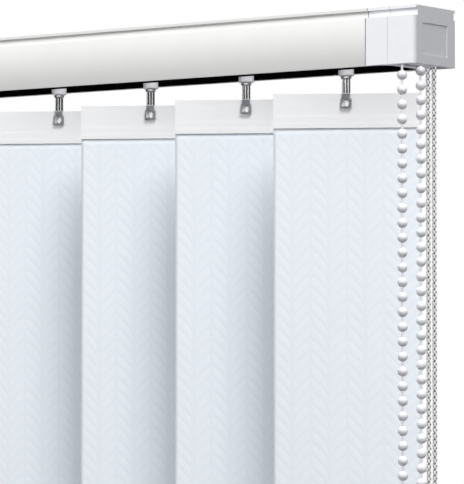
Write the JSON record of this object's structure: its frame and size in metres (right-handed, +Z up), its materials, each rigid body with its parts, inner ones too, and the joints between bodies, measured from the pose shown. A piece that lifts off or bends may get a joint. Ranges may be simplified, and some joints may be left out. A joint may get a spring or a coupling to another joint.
{
  "type": "vertical blind",
  "caption": "Vertical blind: white head rail, turning fabric vanes on sliding carriers, with a bead chain to turn them and an endless cord to draw them across.",
  "frame": {"origin": "middle of the head rail's top face", "axes": "+X along the rail towards the controls, +Y towards the window, +Z up"},
  "size_m": [0.4831, 0.0472, 1],
  "materials": {
    "white_rail": "white powder coat, satin",
    "black_liner": "black extruded plastic",
    "white_cap": "moulded, semi-gloss",
    "rod_metal": "extruded",
    "acetal": "moulded white acetal",
    "pin_steel": "bright",
    "bead_plastic": "moulded beads",
    "braid": "braided polyester",
    "clear_plastic": "clear moulded polycarbonate",
    "hanger_plastic": "moulded, satin",
    "vane_fabric": "stiffened jacquard weave",
    "weight_steel": "plated"
  },
  "bodies": {
    "rail": {"head_rail": "white_rail", "track_liner_front": "black_liner", "track_liner_back": "black_liner", "far_end_cap": "white_cap", "control_housing": "white_cap", "control_end_cap": "white_cap", "return_pulley_pin": "pin_steel", "chain_weight": "white_cap", "cord_weight": "white_cap", "bead_chain": "bead_plastic", "traverse_cord": "braid", "carrier_6": "acetal", "spacer_6": "pin_steel"},
    "carriage_1": {"carrier_1": "acetal"},
    "carriage_2": {"carrier_2": "acetal", "spacer_2": "pin_steel"},
    "carriage_3": {"carrier_3": "acetal", "spacer_3": "pin_steel"},
    "carriage_4": {"carrier_4": "acetal", "spacer_4": "pin_steel"},
    "carriage_5": {"carrier_5": "acetal", "spacer_5": "pin_steel"},
    "vane_unit_1": {"stem_1": "clear_plastic", "hanger_1": "hanger_plastic", "vane_1": "vane_fabric", "vane_weight_1": "weight_steel"},
    "worm_unit_1": {"worm_1": "acetal"},
    "vane_unit_2": {"stem_2": "clear_plastic", "hanger_2": "hanger_plastic", "vane_2": "vane_fabric", "vane_weight_2": "weight_steel"},
    "worm_unit_2": {"worm_2": "acetal"},
    "vane_unit_3": {"stem_3": "clear_plastic", "hanger_3": "hanger_plastic", "vane_3": "vane_fabric", "vane_weight_3": "weight_steel"},
    "worm_unit_3": {"worm_3": "acetal"},
    "vane_unit_4": {"stem_4": "clear_plastic", "hanger_4": "hanger_plastic", "vane_4": "vane_fabric", "vane_weight_4": "weight_steel"},
    "worm_unit_4": {"worm_4": "acetal"},
    "vane_unit_5": {"stem_5": "clear_plastic", "hanger_5": "hanger_plastic", "vane_5": "vane_fabric", "vane_weight_5": "weight_steel"},
    "worm_unit_5": {"worm_5": "acetal"},
    "vane_unit_6": {"stem_6": "clear_plastic", "hanger_6": "hanger_plastic", "vane_6": "vane_fabric", "vane_weight_6": "weight_steel"},
    "worm_unit_6": {"worm_6": "acetal"},
    "drive_rod": {"tilt_rod": "rod_metal", "chain_sprocket": "acetal"},
    "chain_wheel": {"chain_weight_wheel": "acetal"},
    "front_pulley": {"cord_pulley_front": "acetal"},
    "back_pulley": {"cord_pulley_back": "acetal"},
    "return_wheel": {"return_pulley": "acetal"},
    "cord_wheel": {"cord_weight_wheel": "acetal"}
  },
  "joints": [
    {"name": "traverse_1", "type": "slide", "parent": "rail", "child": "carriage_1", "axis": [1, 0, 0], "range_m": [0, 0.275]},
    {"name": "traverse_2", "type": "slide", "parent": "rail", "child": "carriage_2", "axis": [1, 0, 0], "range_m": [0, 0.22]},
    {"name": "traverse_3", "type": "slide", "parent": "rail", "child": "carriage_3", "axis": [1, 0, 0], "range_m": [0, 0.165]},
    {"name": "traverse_4", "type": "slide", "parent": "rail", "child": "carriage_4", "axis": [1, 0, 0], "range_m": [0, 0.11]},
    {"name": "traverse_5", "type": "slide", "parent": "rail", "child": "carriage_5", "axis": [1, 0, 0], "range_m": [0, 0.055]},
    {"name": "vane_turn_1", "type": "hinge", "parent": "carriage_1", "child": "vane_unit_1", "pos_m": [-0.1875, 0, -0.04], "axis": [0, 0, 1], "range_deg": [-18, 138]},
    {"name": "worm_spin_1", "type": "hinge", "parent": "carriage_1", "child": "worm_unit_1", "pos_m": [-0.1875, -0.0074, -0.0195], "axis": [1, 0, 0], "range_deg": [-216, 1656]},
    {"name": "vane_turn_2", "type": "hinge", "parent": "carriage_2", "child": "vane_unit_2", "pos_m": [-0.1125, 0, -0.04], "axis": [0, 0, 1], "range_deg": [-18, 138]},
    {"name": "worm_spin_2", "type": "hinge", "parent": "carriage_2", "child": "worm_unit_2", "pos_m": [-0.1125, -0.0074, -0.0195], "axis": [1, 0, 0], "range_deg": [-216, 1656]},
    {"name": "vane_turn_3", "type": "hinge", "parent": "carriage_3", "child": "vane_unit_3", "pos_m": [-0.0375, 0, -0.04], "axis": [0, 0, 1], "range_deg": [-18, 138]},
    {"name": "worm_spin_3", "type": "hinge", "parent": "carriage_3", "child": "worm_unit_3", "pos_m": [-0.0375, -0.0074, -0.0195], "axis": [1, 0, 0], "range_deg": [-216, 1656]},
    {"name": "vane_turn_4", "type": "hinge", "parent": "carriage_4", "child": "vane_unit_4", "pos_m": [0.0375, 0, -0.04], "axis": [0, 0, 1], "range_deg": [-18, 138]},
    {"name": "worm_spin_4", "type": "hinge", "parent": "carriage_4", "child": "worm_unit_4", "pos_m": [0.0375, -0.0074, -0.0195], "axis": [1, 0, 0], "range_deg": [-216, 1656]},
    {"name": "vane_turn_5", "type": "hinge", "parent": "carriage_5", "child": "vane_unit_5", "pos_m": [0.1125, 0, -0.04], "axis": [0, 0, 1], "range_deg": [-18, 138]},
    {"name": "worm_spin_5", "type": "hinge", "parent": "carriage_5", "child": "worm_unit_5", "pos_m": [0.1125, -0.0074, -0.0195], "axis": [1, 0, 0], "range_deg": [-216, 1656]},
    {"name": "vane_turn_6", "type": "hinge", "parent": "rail", "child": "vane_unit_6", "pos_m": [0.1875, 0, -0.04], "axis": [0, 0, 1], "range_deg": [-18, 138]},
    {"name": "worm_spin_6", "type": "hinge", "parent": "rail", "child": "worm_unit_6", "pos_m": [0.1875, -0.0074, -0.0195], "axis": [1, 0, 0], "range_deg": [-216, 1656]},
    {"name": "rod_spin", "type": "hinge", "parent": "rail", "child": "drive_rod", "pos_m": [0, -0.0074, -0.0195], "axis": [1, 0, 0], "range_deg": [-216, 1656]},
    {"name": "chain_wheel_spin", "type": "hinge", "parent": "rail", "child": "chain_wheel", "pos_m": [0.2395, -0.0074, -0.7], "axis": [1, 0, 0], "range_deg": [-216, 1656]},
    {"name": "front_pulley_spin", "type": "hinge", "parent": "rail", "child": "front_pulley", "pos_m": [0.235, 0.0109, -0.0185], "axis": [0, 1, 0], "range_deg": [0, 3501.5]},
    {"name": "back_pulley_spin", "type": "hinge", "parent": "rail", "child": "back_pulley", "pos_m": [0.235, 0.0175, -0.0185], "axis": [0, 1, 0], "range_deg": [-3501.5, 0]},
    {"name": "return_pulley_spin", "type": "hinge", "parent": "rail", "child": "return_wheel", "pos_m": [-0.2225, 0.0142, -0.014], "axis": [0, 0, 1], "range_deg": [0, 4774.7]},
    {"name": "cord_wheel_spin", "type": "hinge", "parent": "rail", "child": "cord_wheel", "pos_m": [0.2395, 0.0142, -0.78], "axis": [1, 0, 0], "range_deg": [0, 4774.7]}
  ],
  "couplings": [
    {"joint": "traverse_2", "follows": "traverse_1", "ratio": 0.8},
    {"joint": "traverse_3", "follows": "traverse_1", "ratio": 0.6},
    {"joint": "traverse_4", "follows": "traverse_1", "ratio": 0.4},
    {"joint": "traverse_5", "follows": "traverse_1", "ratio": 0.2},
    {"joint": "worm_spin_1", "follows": "vane_turn_1", "ratio": 12},
    {"joint": "vane_turn_2", "follows": "vane_turn_1", "ratio": 1},
    {"joint": "worm_spin_2", "follows": "vane_turn_1", "ratio": 12},
    {"joint": "vane_turn_3", "follows": "vane_turn_1", "ratio": 1},
    {"joint": "worm_spin_3", "follows": "vane_turn_1", "ratio": 12},
    {"joint": "vane_turn_4", "follows": "vane_turn_1", "ratio": 1},
    {"joint": "worm_spin_4", "follows": "vane_turn_1", "ratio": 12},
    {"joint": "vane_turn_5", "follows": "vane_turn_1", "ratio": 1},
    {"joint": "worm_spin_5", "follows": "vane_turn_1", "ratio": 12},
    {"joint": "vane_turn_6", "follows": "vane_turn_1", "ratio": 1},
    {"joint": "worm_spin_6", "follows": "vane_turn_1", "ratio": 12},
    {"joint": "rod_spin", "follows": "vane_turn_1", "ratio": 12},
    {"joint": "chain_wheel_spin", "follows": "vane_turn_1", "ratio": 12},
    {"joint": "front_pulley_spin", "follows": "traverse_1", "rad_per_m": 222.22},
    {"joint": "back_pulley_spin", "follows": "traverse_1", "rad_per_m": -222.22},
    {"joint": "return_pulley_spin", "follows": "traverse_1", "rad_per_m": 303.03},
    {"joint": "cord_wheel_spin", "follows": "traverse_1", "rad_per_m": 303.03}
  ]
}
